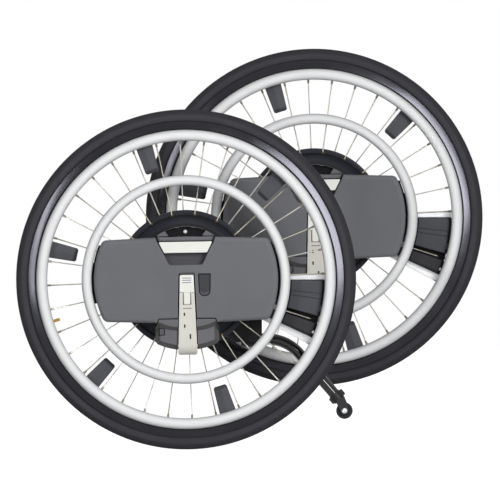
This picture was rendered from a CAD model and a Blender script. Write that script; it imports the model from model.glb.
"""Dresses a pair of wheelchair power-assist wheels and the anti-tip arm behind the left one.

Each wheel's pieces are drawn in that wheel's own frame, in millimetres: x right and y up
across its face, w outboard from the plane of the rim. Side.place carries them to the set.
"""
import logging
import math
from collections.abc import Callable, Sequence
from dataclasses import dataclass
from enum import Enum

import bmesh
import bpy
import numpy as np
from mathutils import Matrix, Vector
from mathutils.geometry import tessellate_polygon
from numpy.typing import NDArray


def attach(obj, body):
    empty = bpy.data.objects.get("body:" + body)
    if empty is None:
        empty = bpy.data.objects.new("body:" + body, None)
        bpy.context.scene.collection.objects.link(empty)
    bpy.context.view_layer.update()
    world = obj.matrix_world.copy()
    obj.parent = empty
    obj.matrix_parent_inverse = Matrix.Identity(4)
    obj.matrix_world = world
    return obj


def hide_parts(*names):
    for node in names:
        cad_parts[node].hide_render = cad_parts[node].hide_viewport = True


Floats = NDArray[np.float64]
Ints = NDArray[np.int64]
Plan = tuple[Floats, Floats, Floats, Floats]
Shape = Callable[[Floats, Floats], Plan]
Socket = bpy.types.NodeSocket
LOG = logging.getLogger("wheels")
MM = 0.001
ROUND = 2 * np.pi
# From the plane of the rim back to the axle's seat, and from the left wheel's seat to the right one's
SEAT_DEPTH = 58.0
PAIR_STEP = (224.0, 400.0, 109.0)
# Degrees by which battery, dock and lever stand turned about the axle
FACE_TURN = 1.0
# Circle of the spokes' holes, and the spokes' angles in the front and the rear flange
HOLE_R = 114.0
FRONT_TURNS = tuple(2.5 + 20.0 * i for i in range(18))
REAR_TURNS = tuple(turn + 10 for turn in FRONT_TURNS)
# Points nearer to each other than this, in metres, become one
WELD = 3e-6
# Angle in degrees past which an edge stays sharp, where a piece has none of its own
CREASE = 34.0
# Roughness of a clear coat
COAT_ROUGH = 0.08
# The body of all that neither turns nor slides
STATIC = "fixed_parts"
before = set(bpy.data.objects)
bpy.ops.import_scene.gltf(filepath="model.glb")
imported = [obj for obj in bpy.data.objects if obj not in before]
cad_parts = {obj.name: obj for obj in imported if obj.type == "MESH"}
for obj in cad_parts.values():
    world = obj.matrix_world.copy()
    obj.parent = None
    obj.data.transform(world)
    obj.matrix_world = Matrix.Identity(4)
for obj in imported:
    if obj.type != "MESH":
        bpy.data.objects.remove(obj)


class Side(Enum):
    """The two wheels of the pair."""

    LEFT = "left"
    RIGHT = "right"

    def place(self, points: Floats) -> Floats:
        """Carries wheel points to the set: x stays, w runs back along Y from the seat, y goes up.

        Args:
            points: Wheel points in millimetres, one row each.

        Returns:
            The same points in the set's frame, in metres.
        """
        across, back, up = (0.0, 0.0, 0.0) if self is Side.LEFT else PAIR_STEP
        x, y, w = points.T
        return (np.stack([x, -w, y], -1) + (across, back - SEAT_DEPTH, up)) * MM

    def of(self, name: str) -> str:
        """Returns a piece or body name with this side in front."""
        return f"{self.value}_{name}"


@dataclass
class Skin:
    """Points, faces of three or four corners, and what the finishes read from them.

    A triangle has -1 as its fourth corner. UVs are in metres, edge runs from 0 on open
    faces to 1 on rubbed edges, and slots number the finishes.
    """

    points: Floats
    faces: Ints
    uvs: Floats
    edge: Floats
    slots: Ints

    def around(self, degrees: float | Sequence[float] | Floats) -> "Skin":
        """Copies the skin about the axle: x and y turn by each angle and w stays.

        Args:
            degrees: One angle or several.

        Returns:
            All the copies as one skin.
        """
        turn = np.radians(np.atleast_1d(np.asarray(degrees, float)))
        c, s = np.cos(turn)[:, None], np.sin(turn)[:, None]
        x, y, w = self.points.T
        count = len(turn)
        points = np.stack([x * c - y * s, x * s + y * c, np.tile(w, (count, 1))], -1)
        step = len(x) * np.arange(count)[:, None, None]
        faces = np.where(self.faces < 0, -1, self.faces + step)
        return Skin(points.reshape(-1, 3), faces.reshape(-1, 4), np.tile(self.uvs, (count, 1, 1)),
                    np.tile(self.edge, count), np.tile(self.slots, count))

    def at(self, x: float, y: float, w: float = 0.0) -> "Skin":
        """Returns the skin moved by x, y and w."""
        return Skin(self.points + (x, y, w), self.faces, self.uvs, self.edge, self.slots)

    def tilted(self, r: float, w: float, degrees: float) -> "Skin":
        """Leans the skin in the plane of x and w, then starts it at radius r and level w.

        Args:
            r: Radius of the skin's start.
            w: Level of the skin's start.
            degrees: Lean from the x axis towards w.

        Returns:
            The leaned skin.
        """
        c, s = math.cos(math.radians(degrees)), math.sin(math.radians(degrees))
        x, y, z = self.points.T
        return Skin(np.stack([r + x * c - z * s, y, w + x * s + z * c], -1), self.faces, self.uvs,
                    self.edge, self.slots)

    def dressed(self, slot: int) -> "Skin":
        """Returns the skin with every face in one finish slot."""
        return Skin(self.points, self.faces, self.uvs, self.edge, np.full(len(self.faces), slot))


def join(*skins: Skin) -> Skin:
    """Puts several skins in one, each one's corners counted on from the last one's points.

    Args:
        skins: The skins to put together.

    Returns:
        One skin of them all.
    """
    starts = np.cumsum([0] + [len(skin.points) for skin in skins])
    faces = [np.where(s.faces < 0, -1, s.faces + at) for s, at in zip(skins, starts)]
    return Skin(np.concatenate([s.points for s in skins]), np.concatenate(faces),
                np.concatenate([s.uvs for s in skins]), np.concatenate([s.edge for s in skins]),
                np.concatenate([s.slots for s in skins]))


def runs(points: Floats) -> list[Floats]:
    """Measures an (n, m) array of points: the mean length run along each of its two ways.

    Args:
        points: The array, n by m by 3.

    Returns:
        The lengths at its n rows and at its m columns.
    """
    return [np.append(0.0, np.cumsum(np.linalg.norm(np.diff(points, axis=k), axis=2).mean(1 - k)))
            for k in (0, 1)]


def grid(points: Floats, edge: Floats | float = 0.0) -> Skin:
    """Covers an (n, m) array of points with squares; UVs are the mean lengths run both ways.

    Args:
        points: The array, n by m by 3.
        edge: How rubbed each point is.

    Returns:
        The squares between neighbouring points.
    """
    n, m = points.shape[:2]
    at = np.arange(n * m).reshape(n, m)
    faces = np.stack([at[:-1, :-1], at[1:, :-1], at[1:, 1:], at[:-1, 1:]], -1).reshape(-1, 4)
    uv = np.stack(np.meshgrid(*runs(points), indexing="ij"), -1).reshape(-1, 2) * MM
    return Skin(points.reshape(-1, 3), faces, uv[faces],
                np.broadcast_to(edge, (n, m)).astype(float).ravel(), np.zeros(len(faces), int))


def closed(edge: Floats) -> Floats:
    """Returns a curve with its first point again at its end."""
    return np.concatenate([edge, edge[:1]])


def merged(*parts: Sequence[float] | Floats) -> Floats:
    """Returns the grid lines of several lists in order, each one once."""
    return np.unique(np.concatenate(parts))


def revolve(profile: Sequence[Sequence[float]] | Floats, steps: int = 192) -> Skin:
    """Turns a profile of radius and level about the w axis: (r cos t, r sin t, w) for t all round.

    Args:
        profile: Rows of radius and level, its last row its first for a closed ring.
        steps: Squares round the turn.

    Returns:
        The turned surface.
    """
    r, w = np.asarray(profile, float).T
    t = np.linspace(0, ROUND, steps + 1)[:, None]
    return grid(np.stack([r * np.cos(t), r * np.sin(t), np.tile(w, (steps + 1, 1))], -1))


def spindle(profile: Sequence[Sequence[float]], sides: int = 16) -> Skin:
    """Turns a profile of station and radius about the x axis: (s, r cos t, r sin t).

    Args:
        profile: Rows of station along x and radius there.
        sides: Squares round the turn.

    Returns:
        The turned surface.
    """
    s, r = np.asarray(profile, float).T
    t = np.linspace(0, ROUND, sides + 1)[:, None]
    return grid(np.stack([np.tile(s, (sides + 1, 1)), r * np.cos(t), r * np.sin(t)], -1))


def sweep(path: Floats, radii: Floats, across: Sequence[float], sides: int = 12) -> Skin:
    """Carries a circle along a flat path: point plus radius times (cos t side + sin t normal).

    Args:
        path: Points of the path, which lies in one plane.
        radii: Radius at each point.
        across: The plane's own normal.
        sides: Squares round the circle.

    Returns:
        The tube, drawn to a point at both ends.
    """
    tip = 1e-3
    first, last = path[1] - path[0], path[-1] - path[-2]
    lead, tail = (tip * way / np.linalg.norm(way) for way in (first, last))
    path = np.concatenate([[path[0] - lead], path, [path[-1] + tail]])
    radii = np.concatenate([[0.0], radii, [0.0]])
    run = np.gradient(path, axis=0)
    run /= np.linalg.norm(run, axis=1, keepdims=True)
    normal = np.cross(run, across)
    t = np.linspace(0, ROUND, sides + 1)[None, :, None]
    ring = np.cos(t) * np.asarray(across, float) + np.sin(t) * normal[:, None]
    return grid(path[:, None] + radii[:, None, None] * ring)


def soft(distance: Floats, radius: float) -> Floats:
    """How far a rounded edge has dropped: the radius less the height of its quarter circle.

    Args:
        distance: Distance in from the edge.
        radius: Radius of the rounding.

    Returns:
        The drop, nought further in than the radius.
    """
    near = np.clip(radius - distance, 0, radius)
    return radius - np.sqrt(np.maximum(radius**2 - near**2, 0))


def ease(value: Floats, low: float, high: float) -> Floats:
    """Rises smoothly from 0 at low to 1 at high, as 3t squared less 2t cubed."""
    t = np.clip((value - low) / (high - low), 0, 1)
    return t * t * (3 - 2 * t)


def lines(low: float, high: float, radius: float, count: int, extra: Sequence[float] = ()) -> Floats:
    """Places grid lines, close together in quarter-circle steps at both ends and even between.

    Args:
        low: First line.
        high: Last line.
        radius: Width of the close steps at each end.
        count: Even lines between them.
        extra: Further lines at set places.

    Returns:
        All the lines in order.
    """
    bend = radius * (1 - np.cos(np.linspace(0, np.pi / 2, 6)))
    middle = np.linspace(low + radius, high - radius, count)
    return np.unique(np.round(np.concatenate([low + bend, middle, high - bend, extra]), 4))


def block(u: Floats, v: Floats, shape: Shape, slot: Callable[[Floats, Floats], Ints] | None = None) -> Skin:
    """Closes a solid between a top and a bottom sheet over one grid, with four walls.

    Args:
        u: Grid lines one way.
        v: Grid lines the other way.
        shape: Gives x, y, the top level and the bottom level at each u and v.
        slot: Gives the finish slot of the top's squares from x and y of their middles.

    Returns:
        The closed solid, rubbed within about 2 mm of the top's rim.
    """
    uu, vv = np.meshgrid(u, v, indexing="ij")
    x, y, top, low = (np.broadcast_to(a, uu.shape) for a in shape(uu, vv))
    upper, lower = np.stack([x, y, top], -1), np.stack([x, y, low], -1)
    inward = [np.minimum(run, run[-1] - run) for run in runs(upper)]
    rub_width, wall_rub = 1.2, 0.2
    rubbed = np.exp(-np.minimum(inward[0][:, None], inward[1][None]) / rub_width)
    face = grid(upper, rubbed)
    if slot is not None:
        middle = (upper[1:, 1:] + upper[:-1, :-1] + upper[1:, :-1] + upper[:-1, 1:]) / 4
        face.slots = np.asarray(slot(middle[..., 0], middle[..., 1]), int).ravel()
    walls = [grid(np.stack([upper[k], lower[k]]), wall_rub) for k in (0, -1)]
    walls += [grid(np.stack([upper[:, k], lower[:, k]]), wall_rub) for k in (0, -1)]
    return join(face, grid(lower), *walls)


@dataclass
class Outline:
    """A closed flat curve, run counter-clockwise, with its outward normals."""

    points: Floats
    normals: Floats
    steps: int

    def inset(self, depth: Floats | float) -> Floats:
        """Returns the curve drawn in by a depth along its normals."""
        return self.points - self.normals * np.reshape(np.broadcast_to(depth, len(self.points)), (-1, 1))

    def spread(self, values: Sequence[float]) -> Floats:
        """Returns one value for each corner, repeated over that corner's points."""
        return np.repeat(np.asarray(values, float), self.steps + 1)


def rounded(corners: Sequence[Sequence[float]] | Floats, radii: float | Sequence[float],
            steps: int = 6) -> Outline:
    """Rounds a polygon: each corner is cut back by r tan(turn/2) and joined by an arc.

    Args:
        corners: The polygon's corners, counter-clockwise.
        radii: Radius at every corner, or one for each.
        steps: Segments in each arc.

    Returns:
        The rounded curve.
    """
    p = np.asarray(corners, float)
    r = np.broadcast_to(np.asarray(radii, float), len(p))
    a = p - np.roll(p, 1, 0)
    a /= np.linalg.norm(a, axis=1, keepdims=True)
    b = np.roll(a, -1, 0)
    turn = np.arctan2(a[:, 0] * b[:, 1] - a[:, 1] * b[:, 0], (a * b).sum(1))
    signed = np.where(turn < 0, -1.0, 1.0) * r
    out = np.stack([a[:, 1], -a[:, 0]], -1)
    centre = p - a * (r * np.tan(np.abs(turn) / 2))[:, None] - signed[:, None] * out
    angle = turn[:, None] * np.linspace(0, 1, steps + 1)
    c, s = np.cos(angle), np.sin(angle)
    normal = np.stack([out[:, :1] * c - out[:, 1:] * s, out[:, :1] * s + out[:, 1:] * c], -1)
    points = centre[:, None] + signed[:, None, None] * normal
    mitre = (out + np.roll(out, -1, 0)) / (1 + (a * b).sum(1))[:, None]
    normal = np.where((r > 0)[:, None, None], normal, mitre[:, None])
    return Outline(points.reshape(-1, 2), normal.reshape(-1, 2), steps)


def oblong(left: float, foot: float, right: float, top: float, radius: float, steps: int = 6) -> Outline:
    """Returns a rectangle with its four corners rounded alike."""
    return rounded([(left, top), (left, foot), (right, foot), (right, top)], radius, steps)


def wall(outline: Outline, insets: Sequence[Floats | float], levels: Sequence[Floats | float],
         edge: Sequence[float]) -> Skin:
    """Carries an edge profile round an outline: curve k is the outline drawn in, at its level.

    Args:
        outline: The curve that the profile follows.
        insets: How far each curve is drawn in.
        levels: Level of each curve.
        edge: How rubbed each curve is.

    Returns:
        The band between the first and last curves.
    """
    rings = [np.c_[outline.inset(d), np.broadcast_to(h, len(outline.points))]
             for d, h in zip(insets, levels)]
    points = np.stack(rings)
    points = np.concatenate([points, points[:, :1]], 1)
    return grid(points, np.asarray(edge, float)[:, None])


def lid(level: float, *loops: Floats) -> Skin:
    """Fills a flat face at one level inside the first loop and outside the others.

    Args:
        level: Level of the face.
        loops: Closed curves, the outside one first.

    Returns:
        The face, in triangles.
    """
    kept = [loop[np.linalg.norm(loop - np.roll(loop, 1, 0), axis=1) > 1e-5] for loop in loops]
    flat = np.concatenate(kept)
    corners = np.array(tessellate_polygon([np.c_[k, np.zeros(len(k))].tolist() for k in kept]), int)
    faces = np.c_[corners, np.full(len(corners), -1)]
    return Skin(np.c_[flat, np.full(len(flat), level)], faces, flat[faces] * MM,
                np.zeros(len(flat)), np.zeros(len(faces), int))


def slab(outline: Outline, low: float, top: float, round_top: float, round_low: float = 0.0) -> Skin:
    """Raises an outline to a plate with quarter-circle edges at its top and bottom.

    Args:
        outline: The plate's edge.
        low: Level of its bottom.
        top: Level of its top.
        round_top: Radius along the top's edge.
        round_low: Radius along the bottom's edge.

    Returns:
        The closed plate.
    """
    a = np.linspace(0, np.pi / 2, 6)
    margin = 0.3
    draw, drop = 1 - np.cos(a), 1 - np.sin(a)
    insets = [round_low + margin, *(round_low * draw[::-1]), *(round_top * draw), round_top + margin]
    levels = [low, *(low + round_low * drop[::-1]), *(top - round_top * drop), top]
    edge = [0.0, *([0.6] * 6), 0.4, 0.7, 1, 1, 0.8, 0.4, 0.0]
    return join(wall(outline, insets, levels, edge), lid(low, outline.inset(insets[0])),
                lid(top, outline.inset(insets[-1])))


class Paint:
    """A material's node tree as it is written."""

    def __init__(self, name: str) -> None:
        """Starts a material with its shader.

        Args:
            name: The material's name.
        """
        self.material = bpy.data.materials.new(name)
        self.material.use_nodes = True
        self.tree = self.material.node_tree
        self.shader = self.tree.nodes["Principled BSDF"]

    def feed(self, socket: Socket, value: object) -> None:
        """Links an output to a socket, or sets the socket's own value.

        Args:
            socket: The input to feed.
            value: An output, or a plain value.
        """
        if isinstance(value, Socket):
            self.tree.links.new(value, socket)
        else:
            socket.default_value = value

    def add(self, kind: str, sockets: dict[str | int, object], **settings: object) -> bpy.types.Node:
        """Adds a node and feeds its sockets.

        Args:
            kind: Blender's name for the node's type, less ShaderNode.
            sockets: Values or outputs by input name or number.
            settings: The node's own settings.

        Returns:
            The new node.
        """
        node = self.tree.nodes.new(f"ShaderNode{kind}")
        for key, value in settings.items():
            setattr(node, key, value)
        for key, value in sockets.items():
            self.feed(node.inputs[key], value)
        return node

    def noise(self, vector: Socket, scale: Sequence[float], detail: float = 3.0) -> Socket:
        """Adds a noise pattern stretched by a scale along each axis.

        Args:
            vector: Coordinates to read.
            scale: Cells to the metre along each axis.
            detail: Octaves of finer noise.

        Returns:
            The pattern's value.
        """
        mapping = self.add("Mapping", {"Vector": vector, "Scale": tuple(scale)})
        return self.add("TexNoise", {"Vector": mapping.outputs[0], "Scale": 1.0, "Detail": detail,
                                     "Roughness": 0.55}).outputs["Fac"]

    def ramp(self, value: Socket, low: Sequence[float], high: Sequence[float]) -> Socket:
        """Colours a pattern from one tone to another.

        Args:
            value: The pattern.
            low: Colour where it is weak.
            high: Colour where it is strong.

        Returns:
            The coloured pattern.
        """
        node = self.add("ValToRGB", {"Fac": value})
        places = (0.32, 0.68)
        for stop, place, colour in zip(node.color_ramp.elements, places, (low, high)):
            stop.position = place
            stop.color = (*colour, 1.0)
        return node.outputs["Color"]

    def span(self, value: Socket, low: float, high: float) -> Socket:
        """Returns a pattern spread from a low to a high number."""
        return self.add("MapRange", {"Value": value, "From Min": 0.3, "From Max": 0.7, "To Min": low,
                                     "To Max": high}).outputs[0]

    def mix(self, factor: object, first: object, second: object) -> Socket:
        """Returns two colours mixed by a factor."""
        node = self.add("Mix", {0: factor, 6: first, 7: second}, data_type="RGBA")
        return node.outputs[2]

    def calc(self, operation: str, first: object, second: object) -> Socket:
        """Returns two values put together by one operation of the math node."""
        return self.add("Math", {0: first, 1: second}, operation=operation).outputs[0]


def linear(colour: Sequence[float], gain: float = 1.0) -> tuple[float, ...]:
    """Turns screen colour values into light by the screen's own curve.

    Args:
        colour: Values of 0 to 255.
        gain: What the light is multiplied by.

    Returns:
        Red, green and blue light from 0 to 1.
    """
    c = np.asarray(colour, float) / 255
    light = np.where(c <= 0.04045, c / 12.92, ((c + 0.055) / 1.055) ** 2.4) * gain
    return tuple(np.clip(light, 0, 1).tolist())


@dataclass(frozen=True)
class Finish:
    """A moulded or coated surface: broad mottling, a fine grain in relief, and rubbed edges."""

    name: str
    colour: tuple[int, int, int]
    rough: float = 0.55
    metal: float = 0.0
    mottle: float = 0.07
    patch: float = 16.0
    grain: float = 0.12
    grain_scale: float = 1100.0
    worn: float = 0.15
    coat: float = 0.0
    shine: float = 0.3

    def material(self) -> bpy.types.Material:
        """Writes the finish's material the first time it is asked for.

        Returns:
            The material, the same one each time.
        """
        name = f"{self.name}_finish"
        made = bpy.data.materials.get(name)
        if made is None:
            paint = Paint(name)
            paint.feed(paint.shader.inputs["Metallic"], self.metal)
            paint.feed(paint.shader.inputs["Specular IOR Level"], self.shine)
            if self.coat:
                paint.feed(paint.shader.inputs["Coat Weight"], self.coat)
                paint.feed(paint.shader.inputs["Coat Roughness"], COAT_ROUGH)
            self.lay(paint)
            made = paint.material
        return made

    def lay(self, paint: Paint) -> None:
        """Writes the surface's colour, roughness and relief.

        Args:
            paint: The material being written.
        """
        where = paint.add("TexCoord", {}).outputs["Object"]
        broad = paint.noise(where, (self.patch,) * 3, 5.0)
        fine = paint.noise(where, (self.grain_scale,) * 3)
        self.finish(paint, broad, fine)

    def finish(self, paint: Paint, broad: Socket, fine: Socket) -> None:
        """Feeds the shader from a broad and a fine pattern and the rubbed-edge values.

        Args:
            paint: The material being written.
            broad: Pattern of the mottling.
            fine: Pattern of the grain, which the light sees as height.
        """
        tone = paint.ramp(broad, linear(self.colour, 1 - self.mottle), linear(self.colour, 1 + self.mottle))
        edge = paint.add("Attribute", {}, attribute_name="edge").outputs["Fac"]
        rub = paint.calc("MULTIPLY", edge, paint.span(broad, 0.55, 1.0))
        lift = linear(self.colour, 1 + self.worn * (2 if self.worn >= 0 else 1))
        paint.feed(paint.shader.inputs["Base Color"], paint.mix(rub, tone, (*lift, 1.0)))
        half = paint.calc("MULTIPLY", paint.calc("ADD", broad, fine), 0.5)
        spread, depth = 0.07, 0.0004
        gloss = paint.span(half, self.rough - spread, self.rough + spread)
        paint.feed(paint.shader.inputs["Roughness"], gloss)
        bump = paint.add("Bump", {"Strength": self.grain, "Distance": depth, "Height": fine})
        paint.feed(paint.shader.inputs["Normal"], bump.outputs[0])


@dataclass(frozen=True)
class Drawn(Finish):
    """A drawn or turned metal: streaks that run along the piece's own first UV direction."""

    along: float = 9.0
    across: float = 2600.0

    def lay(self, paint: Paint) -> None:
        """Writes long thin streaks over a broad bloom.

        Args:
            paint: The material being written.
        """
        coords = paint.add("TexCoord", {})
        broad = paint.noise(coords.outputs["Object"], (self.patch,) * 3, 5.0)
        streak = paint.noise(coords.outputs["UV"], (self.along, self.across, 1.0), 2.0)
        self.finish(paint, broad, streak)


@dataclass(frozen=True)
class Sheet(Finish):
    """A rolled metal plate: streaks along one direction of the set's own frame."""

    stretch: tuple[float, float, float] = (12.0, 900.0, 900.0)
    lean: float = 0.0

    def lay(self, paint: Paint) -> None:
        """Writes the rolling streaks over a broad bloom.

        Args:
            paint: The material being written.
        """
        where = paint.add("TexCoord", {}).outputs["Object"]
        turned = paint.add("Mapping", {"Vector": where, "Rotation": (0.0, self.lean, 0.0)}).outputs[0]
        broad = paint.noise(where, (self.patch,) * 3, 5.0)
        streak = paint.noise(turned, self.stretch, 2.0)
        self.finish(paint, broad, streak)


@dataclass(frozen=True)
class Wound(Finish):
    """Wire laid in layers: round ridges side by side along w."""

    wires: float = 1100.0

    def lay(self, paint: Paint) -> None:
        """Writes the ridges of the wire over a broad bloom.

        Args:
            paint: The material being written.
        """
        where = paint.add("TexCoord", {}).outputs["Object"]
        broad = paint.noise(where, (self.patch,) * 3, 5.0)
        turns = paint.add("TexWave", {"Vector": where, "Scale": self.wires / 6.28, "Distortion": 0.4},
                          bands_direction="Y").outputs["Fac"]
        self.finish(paint, broad, turns)


TYRE = Finish("tyre_rubber", (69, 68, 73), 0.75, mottle=0.09, patch=22, grain=0.35, grain_scale=1500,
              worn=-0.34, shine=0.08)
BUTYL = Finish("tube_rubber", (48, 46, 46), 0.7, grain=0.2)
RIM = Drawn("rim_dark", (46, 46, 50), 0.17, 0.9, mottle=0.08, grain=0.012, worn=0.1)
SPOKE = Drawn("spoke_steel", (172, 167, 154), 0.36, 0.6, mottle=0.05, grain=0.03, along=30, across=5000)
SPOKE_LIT = Drawn("spoke_bright", (224, 221, 212), 0.36, 0.6, mottle=0.05, grain=0.03, along=30,
                  across=5000)
NIPPLE = Drawn("nipple_brass", (158, 153, 141), 0.34, 0.6, grain=0.03, along=400, across=900)
BRASS = Drawn("valve_brass", (214, 176, 92), 0.35, 0.5, grain=0.03, along=400, across=900)
HUB = Finish("hub_black", (34, 36, 44), 0.36, mottle=0.08, grain=0.05, grain_scale=700, worn=0.2,
             shine=0.14)
EYELET = Finish("eyelet_bronze", (72, 60, 47), 0.4, 0.6, grain=0.05)
MOTOR = Drawn("motor_steel", (150, 152, 158), 0.35, 0.9, grain=0.05)
BRACKET = Finish("bracket_grey", (83, 84, 89), 0.55, grain=0.16, grain_scale=900, shine=0.15)
BOX = Finish("sensor_grey", (77, 78, 83), 0.55, grain=0.16, grain_scale=900, shine=0.15)
GAP = Finish("recess_black", (23, 23, 26), 0.6, grain=0.1, shine=0.1)
LID = Finish("sensor_dark", (53, 53, 57), 0.55, grain=0.16, grain_scale=900, shine=0.15)
PLATE = Sheet("sheet_aluminium", (198, 199, 201), 0.3, 0.95, mottle=0.05, grain=0.04, lean=0.15)
COATED = Finish("plate_black", (27, 27, 30), 0.4, grain=0.14, grain_scale=650, worn=0.3, shine=0.15)
PUSHRIM = Drawn("pushrim_aluminium", (247, 248, 249), 0.32, mottle=0.015, grain=0.02, across=3400,
                worn=-0.45, shine=0.0)
BLACK = Finish("plastic_black", (28, 28, 31), 0.5, grain=0.16, shine=0.12)
CASE = Finish("case_grey", (113, 114, 118), 0.56, mottle=0.045, patch=9, grain=0.2, grain_scale=1300,
              worn=0.1, shine=0.1)
RECESS = Finish("recess_grey", (75, 74, 79), 0.58, grain=0.18, grain_scale=1300)
DOCK = Finish("dock_grey", (110, 110, 114), 0.54, mottle=0.05, grain=0.18, grain_scale=1300, worn=0.1,
              shine=0.1)
BAND = Finish("dock_band", (84, 84, 84), 0.6, mottle=0.05, grain=0.22, grain_scale=1100, worn=0.1,
              shine=0.2)
FLAP = Finish("flap_grey", (59, 60, 64), 0.55, grain=0.2, grain_scale=1300, shine=0.2)
BUTTON = Finish("button_grey", (84, 84, 88), 0.5, grain=0.18)
CELL = Sheet("cell_steel", (86, 120, 160), 0.35, 0.2, grain=0.05, stretch=(500.0, 500.0, 12.0))
BADGE = Finish("plate_cream", (246, 246, 240), 0.36, mottle=0.02, patch=12, grain=0.05, worn=0.02)
LEVER = Finish("lever_cream", (224, 222, 213), 0.42, mottle=0.03, patch=20, grain=0.08, worn=0.04)
STRIPE = Finish("stripe_blue", (118, 122, 140), 0.5, grain=0.05)
INK = Finish("mark_black", (38, 34, 34), 0.5, grain=0.05)
SEAM = Finish("seam_brown", (112, 107, 98), 0.55, grain=0.1)
LIGHT = Finish("light_white", (244, 244, 242), 0.25, mottle=0.02, grain=0.02, coat=0.4)
COIL = Wound("coil_copper", (176, 106, 52), 0.35, 0.8, grain=0.5)
STEEL = Drawn("pin_steel", (196, 197, 200), 0.28, 0.95, grain=0.04, along=300, across=900)
ZINC = Finish("bolt_zinc", (206, 208, 210), 0.28, 0.85, mottle=0.06, patch=120, grain=0.05)
TUBE = Drawn("tube_black", (10, 10, 11), 0.11, mottle=0.08, grain=0.008, shine=0.45)
FOOT = Finish("foot_black", (38, 38, 41), 0.4, grain=0.2, shine=0.2)
CASTOR = Finish("castor_rubber", (54, 54, 57), 0.7, mottle=0.1, patch=40, grain=0.3, shine=0.15)


def make(name: str, skin: Skin, body: str, finishes: Sequence[Finish], nodes: Sequence[str] = (),
         side: Side = Side.LEFT, crease: float = CREASE) -> bpy.types.Object:
    """Puts a skin into a mesh, closes its seams, dresses it and sets it on its body.

    Args:
        name: The piece's name.
        skin: Its surface in its wheel's frame.
        body: The body that it rides on.
        finishes: Its finishes in the order of the skin's slots.
        nodes: The solids that it stands for.
        side: The wheel whose frame it is drawn in.
        crease: Angle in degrees past which an edge stays sharp.

    Returns:
        The new object.
    """
    mesh = bpy.data.meshes.new(name)
    used = skin.faces >= 0
    sizes = used.sum(1)
    mesh.vertices.add(len(skin.points))
    mesh.vertices.foreach_set("co", side.place(skin.points).astype(np.float32).ravel())
    mesh.loops.add(int(sizes.sum()))
    mesh.loops.foreach_set("vertex_index", skin.faces[used].astype(np.int32))
    mesh.polygons.add(len(sizes))
    mesh.polygons.foreach_set("loop_start", (np.cumsum(sizes) - sizes).astype(np.int32))
    mesh.polygons.foreach_set("material_index", skin.slots.astype(np.int32))
    mesh.uv_layers.new(name="UVMap").uv.foreach_set("vector", skin.uvs[used].astype(np.float32).ravel())
    mesh.attributes.new("edge", "FLOAT", "POINT").data.foreach_set("value", skin.edge.astype(np.float32))
    mesh.update(calc_edges=True)
    shell = bmesh.new()
    shell.from_mesh(mesh)
    bmesh.ops.remove_doubles(shell, verts=shell.verts, dist=WELD)
    bmesh.ops.recalc_face_normals(shell, faces=shell.faces)
    shell.to_mesh(mesh)
    shell.free()
    for finish in finishes:
        mesh.materials.append(finish.material())
    mesh.shade_smooth()
    mesh.set_sharp_from_angle(angle=math.radians(crease))
    piece = bpy.data.objects.new(name, mesh)
    bpy.context.scene.collection.objects.link(piece)
    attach(piece, body)
    if nodes:
        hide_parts(*nodes)
    LOG.info("%s: %d faces on %s", name, len(mesh.polygons), body)
    return piece


def dress(node: str, finish: Finish) -> None:
    """Gives a solid that stays as it is its finish.

    Args:
        node: The solid's name.
        finish: The finish for all of it.
    """
    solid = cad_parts[node]
    if not solid.material_slots:
        solid.data.materials.append(None)
    for holder in solid.material_slots:
        holder.material = finish.material()
    LOG.info("%s: solid in %s", node, finish.name)


@dataclass
class WheelGroup:
    """A group of one wheel's pieces."""

    side: Side

    def fit(self, name: str, skin: Skin, body: str, finishes: Sequence[Finish], slot: str, node: str = "",
            crease: float = CREASE) -> None:
        """Makes one piece of this wheel, its names given without the side.

        Args:
            name: The piece's name.
            skin: Its surface in the wheel's frame.
            body: The body that it rides on.
            finishes: Its finishes in the order of the skin's slots.
            slot: The record's material slot.
            node: The solid that it stands for, if any.
            crease: Angle in degrees past which an edge stays sharp.
        """
        rides = body if body == STATIC else self.side.of(body)
        nodes = [self.side.of(node)] if node else []
        make(self.side.of(name), skin, rides, finishes, nodes, self.side, crease)


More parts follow.
